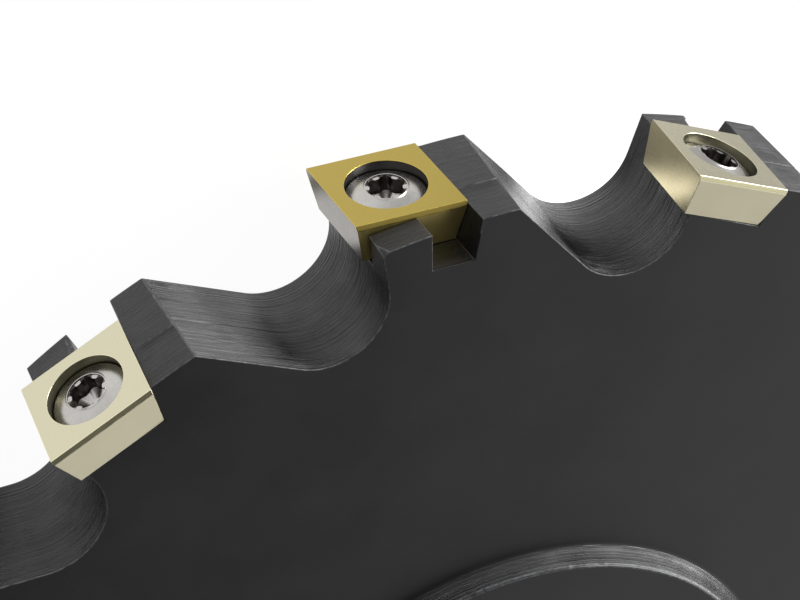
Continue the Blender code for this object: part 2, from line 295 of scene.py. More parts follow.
def cut_away(piece, cutter):
    """Take the cutter's body out of the piece, as a milling pass does."""
    modify(piece, "BOOLEAN", operation="DIFFERENCE", solver="EXACT", object=cutter)
    bpy.data.objects.remove(cutter)


# %% [markdown]
# ## Turning the disc
#
# On a lathe the blank gets its outline one cut at a time. Here a circle does the same: it is extruded to
# the next radius and height of the outline, until it meets its own start. The same helper turns the screws
# and the inserts' openings later on.

# %% The turned blank
SEGMENTS = 24 * TEETH


def turned(name, outline, segments, solid=False):
    """Turn an outline of (radius, height) points: a ring that meets its start, or a solid with flat ends."""
    radius, height = outline[0]
    begin()
    bpy.ops.mesh.primitive_circle_add(vertices=segments, radius=radius, location=(0, 0, height),
                                      fill_type="NGON" if solid else "NOTHING")
    piece = settled(name)
    edit_whole(piece)
    for next_radius, next_height in outline[1:]:
        rise = (0, 0, next_height - height)
        if solid:
            extrude(rise)
        else:
            bpy.ops.mesh.extrude_edges_move(TRANSFORM_OT_translate={"value": rise})
        resize(next_radius / radius)
        radius, height = next_radius, next_height
    if not solid:
        bpy.ops.mesh.select_all(action="DESELECT")
        bpy.ops.mesh.select_mode(type="EDGE")
        bpy.ops.mesh.select_non_manifold()
        bpy.ops.mesh.bridge_edge_loops()
    leave_edit()
    outward(piece)
    return piece


def hub_outline(side):
    """From the disc's face in to the bore, on the upper (1) or the lower (-1) side."""
    face = MIDDLE + side * DISC_THICKNESS / 2
    top = face + side * HUB_RISE
    foot_radius = HUB_FACE_RADIUS + HUB_LEAN
    points = []
    for step in range(6):
        t = step / 5
        rise = t ** 2 * HUB_FOOT_FILLET
        reach = (1 - t) ** 2 * HUB_FOOT_FILLET - HUB_LEAN * rise / HUB_RISE
        points.append((foot_radius + reach, face + side * rise))
    edge = HUB_FACE_RADIUS + HUB_EDGE * HUB_LEAN / HUB_RISE
    return points + [(edge, top - side * HUB_EDGE), (HUB_FACE_RADIUS - HUB_EDGE, top),
                     (BORE_RADIUS + BORE_CHAMFER, top), (BORE_RADIUS, top - side * BORE_CHAMFER)]


lower_face = MIDDLE - DISC_THICKNESS / 2
upper_face = MIDDLE + DISC_THICKNESS / 2
step_height = upper_face - RIM_STEP_DEPTH
rim_outline = [(RIM_RADIUS, lower_face), (RIM_RADIUS, step_height - RIM_STEP),
               (RIM_RADIUS - RIM_STEP, step_height), (RIM_RADIUS - RIM_STEP, upper_face)]
body = turned("blackened_body", rim_outline + hub_outline(1) + hub_outline(-1)[::-1], SEGMENTS)
print("blank:", len(body.data.polygons), "faces")

# %% [markdown]
# ## Milling the gullets
#
# A gullet is the hollow in front of a tooth where the chip curls. It is the path of an end mill, so the
# cutter starts as a cylinder. It is bisected where the round floor ends, and its cut face is extruded out
# past the rim: one end goes straight up the steep flank under the insert, the other up the easy slope to
# the heel.

# %% The gullet's cutter
NEAR = 0.01 * MM
START = 0.1 * MM


def gullet_cutter():
    turn = PITCH - HEEL_LENGTH / RIM_RADIUS
    heel = Vector((RIM_RADIUS * math.sin(turn), 0, RIM_RADIUS * math.cos(turn)))
    centre = Vector((FLANK_LEAD + GULLET_RADIUS, 0, RIM_RADIUS - GULLET_CENTRE_DEPTH))
    reach = heel - centre
    tangent = math.atan2(reach.z, reach.x) - math.acos(GULLET_RADIUS / reach.length)
    slope_foot = centre + GULLET_RADIUS * Vector((math.cos(tangent), 0, math.sin(tangent)))
    flank_foot = centre - Vector((GULLET_RADIUS, 0, 0))
    begin()
    bpy.ops.mesh.primitive_cylinder_add(vertices=120, radius=GULLET_RADIUS, location=centre,
                                        depth=DISC_THICKNESS + 2 * RUN_OUT, rotation=(math.pi / 2, 0, 0))
    cutter = settled()
    edit_whole(cutter)
    chord = slope_foot - flank_foot
    up = Vector((-chord.z, 0, chord.x)).normalized()
    bisect(flank_foot, up, clear_outer=True, use_fill=True)
    pick(cutter, lambda middle, face: face.normal.dot(up) > 0.999 and (middle - flank_foot).dot(up) > -NEAR)
    extrude(up * START)
    slope = (heel - slope_foot).normalized()
    lifted = flank_foot + up * START
    along = chord.normalized()
    pick(cutter, lambda middle, corner: (middle - lifted).dot(along) < NEAR
         and (middle - lifted).dot(up) > -NEAR, "VERT")
    goal = Vector((FLANK_LEAD, 0, RIM_RADIUS + 2 * RUN_OUT))
    bpy.ops.transform.translate(value=goal - lifted)
    far = slope_foot + up * START
    pick(cutter, lambda middle, corner: (Vector((middle.x, 0, middle.z)) - far).length < NEAR, "VERT")
    bpy.ops.transform.translate(value=heel + slope * RUN_OUT - far)
    leave_edit()
    return cutter


def sheared(hand):
    return Matrix(((1, hand * math.tan(GULLET_SKEW), 0, 0), (0, 1, 0, 0), (0, 0, 1, 0), (0, 0, 0, 1)))


def around(pattern, matrix_for, teeth=range(TEETH)):
    """Send one copy of a cutter to each of the teeth and join them."""
    copies = [placed(copy_of(pattern, f"pass_{tooth + 1:02d}"), matrix_for(tooth)) for tooth in teeth]
    bpy.data.objects.remove(pattern)
    return joined(copies, "milling_pass")


cut_away(body, around(gullet_cutter(), lambda tooth: tooth_frame(tooth) @ sheared(hand_of(tooth))))
print("with gullets:", len(body.data.polygons), "faces")

# %% [markdown]
# ## Milling the pockets
#
# A pocket is milled down to the seat, up to a small backing block and up to a wall behind the insert that
# leans with the insert's own side. A slot leads on from it across the rim, past the block's end. Two
# overlapping boxes would leave slivers on the floor that they share. So one box is bisected at the block's
# end, the part behind it is extruded into the slot, and the wall's lower and upper corners are moved until
# it leans.

# %% The pocket's cutter
BACK = -INSERT_LENGTH / 2 - SNUG
WALL = -INSERT_WIDTH / 2 - SNUG
SEAT_FLOOR = -INSERT_THICKNESS - SNUG


def pocket_cutter():
    sky = 2 * RUN_OUT
    low = Vector((BACK, WALL, SEAT_FLOOR))
    high = Vector((INSERT_LENGTH, DISC_THICKNESS, sky))
    begin()
    bpy.ops.mesh.primitive_cube_add(size=1, location=(low + high) / 2)
    cutter = settled(size=high - low)
    edit_whole(cutter)
    bisect((-BLOCK_TAIL, 0, 0), (1, 0, 0))
    pick(cutter, lambda middle, face: face.normal.y < -0.9 and middle.x < -BLOCK_TAIL)
    extrude((0, -DISC_THICKNESS, 0))
    for height in (SEAT_FLOOR, sky):
        pick(cutter, lambda middle, corner: middle.x < BACK / 2 and abs(middle.z - height) < NEAR, "VERT")
        bpy.ops.transform.translate(value=(-height * math.tan(INSERT_RELIEF), 0, 0))
    leave_edit()
    return cutter


def seat_axes(tooth):
    return seat_frame(tooth) @ insert_axes(hand_of(tooth))


cut_away(body, around(pocket_cutter(), seat_axes))
print("with pockets:", len(body.data.polygons), "faces")

# %% [markdown]
# ## Screw holes, keyway and the small bevel on each block
#
# A drilled hole ends in the cone of the drill's point: the cylinder's end face is extruded and drawn
# together. The bevel on a backing block is one stroke of a file: across the leading corner on a lower
# tooth, and along the trailing end on an upper one. A cube with one face on the filed plane stands in for
# it.

# %% The hole's, the bevels' and the keyway's cutters
def hole_cutter():
    radius = SCREW_RADIUS + SEAT_GAP
    top = -INSERT_THICKNESS + RUN_OUT
    floor = -SCREW_LENGTH - HOLE_EXTRA_DEPTH
    begin()
    bpy.ops.mesh.primitive_cylinder_add(vertices=48, radius=radius, depth=top - floor,
                                        location=(0, 0, (top + floor) / 2))
    cutter = settled()
    edit(cutter)
    pick(cutter, lambda middle, face: face.normal.z < -0.9)
    extrude((0, 0, -radius / math.tan(DRILL_POINT)))
    bpy.ops.mesh.merge(type="CENTER")
    leave_edit()
    return cutter


def filed(ends, corner):
    """A cube whose lower face lies on the plane through three points, on the corner's side."""
    normal = (ends[1] - ends[0]).cross(ends[2] - ends[0]).normalized()
    if normal.dot(corner - ends[0]) < 0:
        normal.negate()
    size = 3 * MM
    middle = (ends[0] + ends[1] + ends[2]) / 3 + normal * size / 2
    begin()
    bpy.ops.mesh.primitive_cube_add(size=size, location=middle,
                                    rotation=normal.to_track_quat("Z", "Y").to_euler())
    return settled()


def leading_bevel():
    """On a lower tooth's block: across its leading outer corner."""
    face = -DISC_THICKNESS / 2
    lead = FLANK_LEAD + face * math.tan(GULLET_SKEW)
    corner = Vector((lead, face, math.sqrt(RIM_RADIUS ** 2 - lead ** 2)))
    return filed([corner - Vector((BLOCK_BEVEL.x, 0, 0)), corner + Vector((0, BLOCK_BEVEL.y, 0)),
                  corner - Vector((0, 0, BLOCK_BEVEL.z))], corner)


def trailing_bevel():
    """On an upper tooth's block: along the edge at its trailing end, wider beside the insert."""
    rim = seat_axes(0).inverted() @ tooth_frame(0) @ Vector((-BLOCK_TAIL, -DISC_THICKNESS / 2, RIM_RADIUS))
    corner = Vector((-BLOCK_TAIL, rim.y, rim.z))
    beside = Vector((-BLOCK_TAIL, WALL, rim.z))
    return filed([corner + Vector((BLOCK_END_BEVEL / 3, 0, 0)), beside + Vector((BLOCK_END_BEVEL, 0, 0)),
                  beside - Vector((0, 0, BLOCK_END_BEVEL))], beside)


def keyway_cutter():
    floor = BORE_RADIUS + KEYWAY_DEPTH
    begin()
    bpy.ops.mesh.primitive_cube_add(size=1, location=(0, floor / 2, MIDDLE))
    return settled(size=(KEY_WIDTH, floor, 4 * DISC_THICKNESS))


MIRROR = Matrix.Diagonal((1, -1, 1, 1))
upper_teeth = [tooth for tooth in range(TEETH) if hand_of(tooth) > 0]
lower_teeth = [tooth for tooth in range(TEETH) if hand_of(tooth) < 0]
cut_away(body, around(hole_cutter(), seat_frame))
cut_away(body, around(leading_bevel(), lambda tooth: tooth_frame(tooth) @ MIRROR, lower_teeth))
cut_away(body, around(trailing_bevel(), seat_axes, upper_teeth))
cut_away(body, keyway_cutter())
print("after milling:", len(body.data.polygons), "faces,", len(body.data.vertices), "corners")

# %% [markdown]
# ## Breaking the body's sharp edges
#
# A deburring stone runs along every edge before the disc is blackened, and wear then rubs the black off
# again. The Bevel modifier gives each sharp edge a narrow round, less of it where an insert has to lean on
# the edge. The rounds get the second material slot, so that the worn metal there can have a finish of its
# own. Deep in a pocket nothing rubs, so the rounds there stay black, and the pocket's faces are marked as
# sheltered.

# %% The body's edges and its material slots
SHARP = math.radians(25)


def new_finishes(piece, *names):
    """Give a piece a new material for each of its slots."""
    finishes = [bpy.data.materials.new(name) for name in names]
    for finish in finishes:
        finish.use_nodes = True
        piece.data.materials.append(finish)
    return finishes


black_oxide, rubbed_edge = new_finishes(body, "black_oxide", "rubbed_edge")


def break_edges(piece, width, merge, crisp=None):
    """Clean the cuts' slivers, then round every sharp edge and give the round the second slot.

    Edges that pass the crisp test get only a share of the width."""
    edit_whole(piece)
    bpy.ops.mesh.remove_doubles(threshold=merge)
    bpy.ops.mesh.dissolve_degenerate(threshold=merge / 2)
    bpy.ops.mesh.select_mode(type="EDGE")
    bpy.ops.mesh.select_all(action="DESELECT")
    bpy.ops.mesh.edges_select_sharp(sharpness=SHARP)
    bpy.ops.transform.edge_bevelweight(value=1)
    if crisp:
        pick(piece, crisp, "EDGE")
        bpy.ops.transform.edge_bevelweight(value=CRISP_SHARE - 1)
    leave_edit()
    modify(piece, "BEVEL", width=width, segments=2, limit_method="WEIGHT", material=1,
           use_clamp_overlap=False, loop_slide=False)


def shade(piece):
    """Smooth the rounds, and let the large flat faces keep their own normals."""
    activate(piece)
    bpy.ops.object.shade_smooth_by_angle(angle=math.radians(50))
    modify(piece, "WEIGHTED_NORMAL", keep_sharp=True, weight=100)


to_seat = [seat_axes(tooth).inverted() for tooth in range(TEETH)]


def nearest_tooth(place):
    return round((math.atan2(place.y, place.x) + math.pi / 2) / PITCH - 0.5) % TEETH


def kept_crisp(middle, edge):
    """Edges that an insert leans on, those of the keyway, and the step round the rim."""
    if abs(abs(middle.x) - KEY_WIDTH / 2) < 0.1 * MM and 0 < middle.y < BORE_RADIUS + 5 * MM:
        return True
    if middle.xy.length > RIM_RADIUS - 0.2 * MM and abs(middle.z - step_height) < 0.3 * MM:
        return True
    local = to_seat[nearest_tooth(middle)] @ middle
    on_wall = abs(local.x - BACK) < 0.5 * MM and local.y > WALL - 0.2 * MM
    on_block = abs(local.y - WALL) < 0.05 * MM and local.x > -BLOCK_TAIL - 0.1 * MM
    return on_wall or on_block


def in_pocket(middle, face):
    """On a pocket's floor or beside its wall, where no hand or chip reaches."""
    if middle.xy.length > RIM_RADIUS - 1 * MM or middle.xy.length < RIM_RADIUS / 2:
        return False
    local = to_seat[nearest_tooth(middle)] @ middle
    on_floor = abs(local.z - SEAT_FLOOR) < 0.3 * MM and BACK - 1 * MM < local.x < INSERT_LENGTH / 2 - 0.5 * MM
    on_wall = abs(local.x - BACK) < 1.2 * MM and local.z > SEAT_FLOOR
    return on_floor or on_wall


break_edges(body, EDGE_ROUND, SLIVER, kept_crisp)
paint(body, 0, in_pocket)
shade(body)
sheltered = body.data.attributes.new("sheltered", "FLOAT", "FACE")
sheltered.data.foreach_set("value", [float(in_pocket(face.center, face)) for face in body.data.polygons])
print("body with rounded edges:", len(body.data.polygons), "faces")

# %% [markdown]
# ## Pressing and grinding an insert
#
# An insert is carbide powder pressed in a die, sintered and ground. All four sides lean in towards the
# seat, so that the edge above them can cut, and a narrow facet runs along both side edges. A cube becomes
# that shape: it is bisected at the facet's foot, and each of its three rings of corners is then scaled to
# its own size.

# %% An insert's blank
def ring_size(piece, height, length, width):
    """Scale the ring of corners at one height, in edit mode, to a length and a width."""
    pick(piece, lambda middle, corner: abs(middle.z - height) < NEAR, "VERT")
    resize(length / INSERT_LENGTH, width / INSERT_WIDTH)


def insert_blank(name):
    taper = math.tan(INSERT_RELIEF)
    below = INSERT_THICKNESS - FACET_DEPTH
    begin()
    bpy.ops.mesh.primitive_cube_add(size=1, location=(0, 0, -INSERT_THICKNESS / 2))
    blank = settled(name, (INSERT_LENGTH, INSERT_WIDTH, INSERT_THICKNESS))
    edit_whole(blank)
    bisect((0, 0, -FACET_DEPTH), (0, 0, 1))
    ring_size(blank, 0, INSERT_LENGTH, INSERT_WIDTH - 2 * FACET_WIDTH)
    ring_size(blank, -FACET_DEPTH, INSERT_LENGTH - 2 * FACET_DEPTH * taper, INSERT_WIDTH)
    ring_size(blank, -INSERT_THICKNESS, INSERT_LENGTH - 2 * INSERT_THICKNESS * taper,
              INSERT_WIDTH - 2 * below * taper)
    leave_edit()
    return blank


# %% [markdown]
# ## The opening for the screw
#
# The opening starts round and straight, narrows in a cone that the screw's head sits in, and goes on as a
# plain hole. A round face is extruded to those sizes, one ring at a time, and taken out of the blank.

# %% The opening's cutter and the two insert patterns
HONED_ROUND = 0.06 * MM
HONED_SLIVER = 0.002 * MM
COAT_PARTS = ("_coating", "_edge", "_opening")


def opening_cutter():
    hole = SCREW_RADIUS + SEAT_GAP
    cone_top = HEAD_FOOT + SEAT_GAP * math.tan(HEAD_CONE / 2)
    cone_end = cone_top + (OPENING_RADIUS - hole) / math.tan(HEAD_CONE)
    rings = [(OPENING_RADIUS, RUN_OUT), (OPENING_RADIUS, -cone_top), (hole, -cone_end),
             (hole, -INSERT_THICKNESS - RUN_OUT)]
    return turned("opening", rings, 96, solid=True)


def insert_pattern(coat, hand):
    pattern = placed(insert_blank(coat + "_insert"), insert_axes(hand))
    new_finishes(pattern, *(coat + part for part in COAT_PARTS))
    cut_away(pattern, opening_cutter())
    break_edges(pattern, HONED_ROUND, HONED_SLIVER)
    paint(pattern, 2, lambda middle, face: middle.xy.length < OPENING_RADIUS + NEAR
          and middle.z < -HONED_ROUND)
    return pattern


patterns = {1: insert_pattern("champagne", 1), -1: insert_pattern("gold", -1)}
print("insert:", len(patterns[1].data.polygons), "faces")

# %% [markdown]
# ## Turning a clamping screw
#
# The screw is turned from bar, its thread is rolled and its six-lobe recess is pressed in with a punch. The
# outside is extruded ring by ring. The recess goes on from there: a round step, then a ledge whose inner
# corners are scaled in groups into six lobes and six flanks, then straight walls and a cone.

# %% A screw's core and its recess
SCREW_SEGMENTS = 144
RECESS_LOBES = 4.1 * MM
RECESS_FLANKS = 3.25 * MM
LOBE_ROUND = 0.55 * MM
RECESS_STEP = 0.12 * MM
RECESS_LEDGE = 0.05 * MM
RECESS_DEPTH = 1.7 * MM
RECESS_CONE = 0.75 * MM
MOUTH_RADIUS = RECESS_LOBES / 2 + 0.03 * MM
THREAD_ROOT = 2 * MM
THREAD_PITCH = 0.8 * MM
FLANK_TIP = math.radians(21)
NECK = HEAD_FOOT + (HEAD_RADIUS - SCREW_RADIUS) / math.tan(HEAD_CONE)


def lobe_radius(phase):
    """Radius of the six-lobe outline at an angle from the nearest lobe's middle."""
    lobe_centre = RECESS_LOBES / 2 - LOBE_ROUND
    flat = RECESS_FLANKS / 2
    turn = math.radians(30)
    flank_round = ((lobe_centre ** 2 + flat ** 2 - 2 * lobe_centre * flat * math.cos(turn) - LOBE_ROUND ** 2)
                   / (2 * (LOBE_ROUND - flat + lobe_centre * math.cos(turn))))
    flank_centre = flat + flank_round
    step = Vector((flank_centre * math.cos(turn), flank_centre * math.sin(turn))) - Vector((lobe_centre, 0))
    touch = Vector((lobe_centre, 0)) + step.normalized() * LOBE_ROUND
    if phase <= math.atan2(touch.y, touch.x):
        across = lobe_centre * math.sin(phase)
        return lobe_centre * math.cos(phase) + math.sqrt(LOBE_ROUND ** 2 - across ** 2)
    rest = turn - phase
    across = flank_centre * math.sin(rest)
    return flank_centre * math.cos(rest) - math.sqrt(flank_round ** 2 - across ** 2)


def phase_of(place):
    """Angle from the middle of the nearest lobe."""
    angle = math.atan2(place.y, place.x) % (math.pi / 3)
    return min(angle, math.pi / 3 - angle)


def screw_core():
    run_out = NECK + 0.4 * MM
    soft = 0.06 * MM
    rings = [(THREAD_ROOT - 0.15 * MM, -SCREW_LENGTH), (THREAD_ROOT, -SCREW_LENGTH + 0.2 * MM),
             (THREAD_ROOT, -run_out - SCREW_RADIUS + THREAD_ROOT), (SCREW_RADIUS, -run_out),
             (SCREW_RADIUS, -NECK), (HEAD_RADIUS - soft, -HEAD_FOOT - soft), (HEAD_RADIUS, -HEAD_FOOT + soft),
             (HEAD_RADIUS, -HEAD_RIM_DEPTH - soft), (HEAD_RADIUS - soft, -HEAD_RIM_DEPTH)]
    lip = MOUTH_RADIUS + 0.14 * MM
    start = HEAD_RADIUS - soft
    for step in range(1, 9):
        out = 1 - step / 8
        drop = HEAD_RIM_DEPTH - HEAD_CREST_DEPTH - soft
        fall = 0.9 * out + 0.1 * out ** 2
        rings.append((lip + out * (start - lip), -HEAD_CREST_DEPTH - soft - drop * fall))
    rings += [(lip - 0.05 * MM, -HEAD_CREST_DEPTH), (MOUTH_RADIUS, -HEAD_CREST_DEPTH)]
    return turned("clamping_screw", rings, SCREW_SEGMENTS, solid=True)


def press_recess(screw):
    """Carry the head's top face down into the six-lobe recess: a round step, ledges, walls and a cone."""
    edit(screw)
    pick(screw, lambda middle, face: face.normal.z > 0.99 and len(face.verts) == SCREW_SEGMENTS)
    extrude((0, 0, -RECESS_STEP))
    extrude((0, 0, -RECESS_LEDGE))
    ledge = -HEAD_CREST_DEPTH - RECESS_STEP - RECESS_LEDGE
    near = 0.001 * MM
    phases = sorted({round(phase_of(corner.co), 4) for corner in bmesh.from_edit_mesh(screw.data).verts
                     if abs(corner.co.z - ledge) < near})
    for phase in phases:
        pick(screw, lambda middle, corner: abs(middle.z - ledge) < near
             and abs(middle.xy.length - MOUTH_RADIUS) < near
             and abs(phase_of(middle) - phase) < 0.001, "VERT")
        resize(lobe_radius(phase) / MOUTH_RADIUS)
    pick(screw, lambda middle, face: len(face.verts) == SCREW_SEGMENTS and middle.z > -2 * MM)
    extrude((0, 0, -RECESS_DEPTH))
    extrude((0, 0, -RECESS_CONE))
    resize(0.05)
    leave_edit()


screw = screw_core()
press_recess(screw)
print("screw's core:", len(screw.data.polygons), "faces")

# %% [markdown]
# ## Rolling the thread
#
# A rolled thread is a ridge that climbs one pitch in each turn. The Screw modifier sweeps a small pointed
# outline round and down the shank, and the two open ends of the ridge are then filled.

# %% The thread
def thread_ridge():
    top = -NECK - 1.1 * MM
    turns = int((SCREW_LENGTH + top - 0.6 * MM) / THREAD_PITCH)
    half = THREAD_PITCH * 0.46
    inner = THREAD_ROOT - 0.05 * MM
    begin()
    bpy.ops.mesh.primitive_circle_add(vertices=4, radius=half, location=(inner, 0, top),
                                      rotation=(math.pi / 2, 0, 0))
    ridge = settled("thread")
    edit(ridge)
    pick(ridge, lambda middle, corner: middle.x > inner + half / 2, "VERT")
    bpy.ops.transform.translate(value=(SCREW_RADIUS - inner - half, 0, 0))
    pick(ridge, lambda middle, corner: middle.x < inner - half / 2, "VERT")
    bpy.ops.transform.translate(value=(half - 0.02 * MM, 0, 0))
    leave_edit()
    modify(ridge, "SCREW", screw_offset=-THREAD_PITCH, iterations=turns, steps=36, render_steps=36,
           use_smooth_shade=True)
    edit_whole(ridge)
    bpy.ops.mesh.fill_holes(sides=4)
    leave_edit()
    outward(ridge)
    return ridge


screw = joined([screw, thread_ridge()], "clamping_screw")
# The second slot's finish is painted shade for the recess.
bright_steel, dark_recess = new_finishes(screw, "bright_steel", "dark_recess")


def in_recess(middle, face):
    """Inside the recess down to the foot of its walls, where the dark finish is painted shade, except for the
    tips of the six flanks, which keep the bright steel.
    """
    ledge_top = HEAD_CREST_DEPTH + RECESS_STEP
    on_ledge = ledge_top - NEAR < -middle.z < ledge_top + RECESS_LEDGE
    on_tip = on_ledge and abs(face.normal.z) > 0.5 and phase_of(middle) > FLANK_TIP
    above_floor = -middle.z < ledge_top + RECESS_LEDGE + RECESS_DEPTH - NEAR
    below_mouth = -middle.z > HEAD_CREST_DEPTH + NEAR
    return middle.xy.length < MOUTH_RADIUS + NEAR and below_mouth and above_floor and not on_tip


# Painted shade: the recess gets a dark finish, except for the flank tips.
paint(screw, 1, in_recess)
print("screw:", len(screw.data.polygons), "faces")

# %% [markdown]
# ## Loading the disc
#
# The operator sets fourteen inserts and fourteen screws. Each copy gets its own mesh. Before a copy goes to
# its seat, every corner stores where it lies on the piece itself, so that grinding marks stay in line with
# its edges. A screw stops at whatever angle its torque is reached, so each one gets a turn of its own.

# %% Inserts and screws in their seats
def remember_place(piece):
    """Store each corner's place and each face's direction on the piece, before the piece goes to its seat."""
    layer = piece.data.attributes.new("seat_place", "FLOAT_VECTOR", "POINT")
    layer.data.foreach_set("vector", [value for corner in piece.data.vertices for value in corner.co])
    layer = piece.data.attributes.new("seat_facing", "FLOAT_VECTOR", "FACE")
    layer.data.foreach_set("vector", [value for face in piece.data.polygons for value in face.normal])


for pattern in (*patterns.values(), screw):
    remember_place(pattern)
SCREW_STOPS = [12, 35, 48, 21, 3, 40, 27, 55, 8, 31, 17, 44, 24, 10]


def stands_for(piece, node):
    """Hide the plain piece that this one replaces, and hang this one on the one body there is."""
    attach(piece, "root")
    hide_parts(node)


stands_for(body, "cutter_body")
for tooth in range(TEETH):
    number = f"{tooth + 1:02d}"
    hand = hand_of(tooth)
    insert = placed(copy_of(patterns[hand], f"coated_insert_{number}"), seat_frame(tooth))
    shade(insert)
    stands_for(insert, f"insert_{number}")
    stop = Matrix.Rotation(math.radians(SCREW_STOPS[tooth]), 4, "Z")
    fastener = placed(copy_of(screw, f"bright_screw_{number}"), seat_frame(tooth) @ stop)
    shade(fastener)
    stands_for(fastener, f"clamp_screw_{number}")
for pattern in (*patterns.values(), screw):
    bpy.data.objects.remove(pattern)
print("pieces in place:", 1 + 2 * TEETH)

# %% [markdown]
# ## Camera, table and light
#
# The photograph looks down on the rim from above and in front. A long lens flattens the view, as in any
# close-up of a tool on a white table.

# %% The camera
camera_data = bpy.data.cameras.new("camera")
camera_data.lens = 126.75
camera_data.clip_start = 10 * MM
camera = bpy.data.objects.new("camera", camera_data)
camera.location = Vector((12.343, -253.352, 215.674)) * MM
camera.rotation_euler = [math.radians(angle) for angle in (-36.69957, -23.45099, 159.76428)]
bpy.context.collection.objects.link(camera)
bpy.context.scene.camera = camera
bpy.context.scene.view_settings.view_transform = "Standard"

# %% [markdown]
# The table and the world are materials too, so we need a way to write nodes. One helper adds a node and
# feeds its inputs, and a few short ones cover the nodes that come up again and again.

# %% Helpers for writing nodes
def feed(tree, node, settings):
    """Set or link a node's inputs. _ stands for a space in an input's name, and i0 for the first input."""
    for name, value in settings.items():
        socket = node.inputs[int(name[1:])] if name[1:].isdigit() else node.inputs[name.replace("_", " ")]
        if isinstance(value, bpy.types.NodeSocket):
            tree.links.new(value, socket)
        else:
            socket.default_value = value


def wire(material, kind, **settings):
    """Add a shader node. Names that start with set_ are the node's own settings, the others its inputs."""
    tree = getattr(material, "node_tree", material)
    node = tree.nodes.new("ShaderNode" + kind)
    for name in [name for name in settings if name.startswith("set_")]:
        setattr(node, name[4:], settings.pop(name))
    feed(tree, node, settings)
    return node


def maths(material, operation, *values, **settings):
    """The output of a Math node on numbers or on other outputs."""
    inputs = {f"i{place}": value for place, value in enumerate(values)}
    return wire(material, "Math", set_operation=operation, **inputs, **settings).outputs[0]


def eased(material, value, start, end, low, high):
    """A number that goes softly from low to high while the value goes from start to end."""
    return wire(material, "MapRange", set_interpolation_type="SMOOTHSTEP", Value=value,
                From_Min=start, From_Max=end, To_Min=low, To_Max=high).outputs[0]


def parts_of(material, vector):
    """The X, Y and Z of a vector."""
    return wire(material, "SeparateXYZ", Vector=vector).outputs


def radius_of(material, place):
    """The distance from the Z axis."""
    flat = wire(material, "VectorMath", set_operation="MULTIPLY", i0=place, i1=(1, 1, 0)).outputs[0]
    return wire(material, "VectorMath", set_operation="LENGTH", i0=flat).outputs["Value"]


# %% [markdown]
# The table glows white for the camera, and its matt part still takes the shadow. In reflections the table
# also carries painted shadow and painted light: it is dark just past the rim and past one side of the disc,
# for the disc's shadow, bright under the disc, and has one brighter painted spot. The sky is dim high up on
# the other side.

# %% The table
TABLE_SIZE = 6
WHITE_TO_CAMERA = 0.9
WHITE_IN_STEEL = 0.95
GLOW = 1.06
PAINTED_SPOT_GLOW = 1.3
PAINTED_SHADOW_LEVEL = 0.05

begin()
bpy.ops.mesh.primitive_plane_add(size=TABLE_SIZE, location=(0, 0, 0))
table = settled("table")
paper, = new_finishes(table, "white_table")
paper.node_tree.nodes.clear()
rays = wire(paper, "LightPath").outputs
where = wire(paper, "TexCoord").outputs["Object"]
away = radius_of(paper, where)
side = parts_of(paper, where)["X"]
# Painted shadow and painted light, for reflections only: inside is bright under the disc, outside is dark
# just past the rim, and lit_side darkens the far side.
bulge = eased(paper, maths(paper, "ABSOLUTE", side), 14 * MM, 28 * MM, 5 * MM, 0)
inside = eased(paper, maths(paper, "SUBTRACT", away, bulge), 69 * MM, 72.2 * MM, 1, PAINTED_SHADOW_LEVEL)
outside = eased(paper, away, 76.5 * MM, 79.5 * MM, PAINTED_SHADOW_LEVEL, 1)
lit_side = eased(paper, side, -65 * MM, -10 * MM, PAINTED_SHADOW_LEVEL, 1)
# A painted pool of light on the table, brighter than the glow, seen only in reflections.
painted_light_spot = eased(paper, side, -28 * MM, -18 * MM, PAINTED_SPOT_GLOW, 0)
ring = maths(paper, "MAXIMUM", inside, maths(paper, "MULTIPLY", outside, lit_side))
seen = maths(paper, "MULTIPLY", rays["Is Camera Ray"], WHITE_TO_CAMERA)
shown = maths(paper, "MULTIPLY", rays["Is Glossy Ray"], WHITE_IN_STEEL)
share = maths(paper, "MAXIMUM", seen, maths(paper, "MULTIPLY", shown, ring))
matt = wire(paper, "BsdfDiffuse", Color=(0.8, 0.8, 0.8, 1)).outputs[0]
glow = wire(paper, "Emission", Color=(1, 1, 1, 1),
            Strength=maths(paper, "MULTIPLY_ADD", painted_light_spot, inside, GLOW)).outputs[0]
mixed = wire(paper, "MixShader", i0=share, i1=matt, i2=glow)
wire(paper, "OutputMaterial", Surface=mixed.outputs[0])
print("table:", TABLE_SIZE, "m wide")

# %% The world and the lamps
DIM_SKY = 0.08
DIM_ABOVE_HORIZON = 0.1
LAMP_TARGET = Vector((0, -60, 15)) * MM

world = bpy.data.worlds.new("studio")
bpy.context.scene.world = world
world.use_nodes = True
world.node_tree.nodes.clear()
direction = wire(world, "TexCoord").outputs["Generated"]
aim = wire(world, "VectorMath", set_operation="DOT_PRODUCT", i0=direction, i1=(1, -0.2, 1))
dimmed = eased(world, aim.outputs["Value"], 0.25, 0.62, 1, DIM_SKY)
horizon = eased(world, parts_of(world, direction)["Z"], 0.2, 0.42, 1, DIM_ABOVE_HORIZON)
sky = wire(world, "Background", Strength=maths(world, "MAXIMUM", dimmed, horizon))
wire(world, "OutputWorld", Surface=sky.outputs[0])


def soft_lamp(name, toward, distance, width, height, power):
    """A soft box that looks at the disc's near rim."""
    lamp_data = bpy.data.lights.new(name, "AREA")
    lamp_data.shape = "RECTANGLE"
    lamp_data.size = width
    lamp_data.size_y = height
    lamp_data.energy = power
    lamp = bpy.data.objects.new(name, lamp_data)
    lamp.location = LAMP_TARGET + Vector(toward).normalized() * distance
    lamp.rotation_euler = Vector(toward).to_track_quat("Z", "Y").to_euler()
    bpy.context.collection.objects.link(lamp)
    print(name, "at", [round(value, 2) for value in lamp.location])


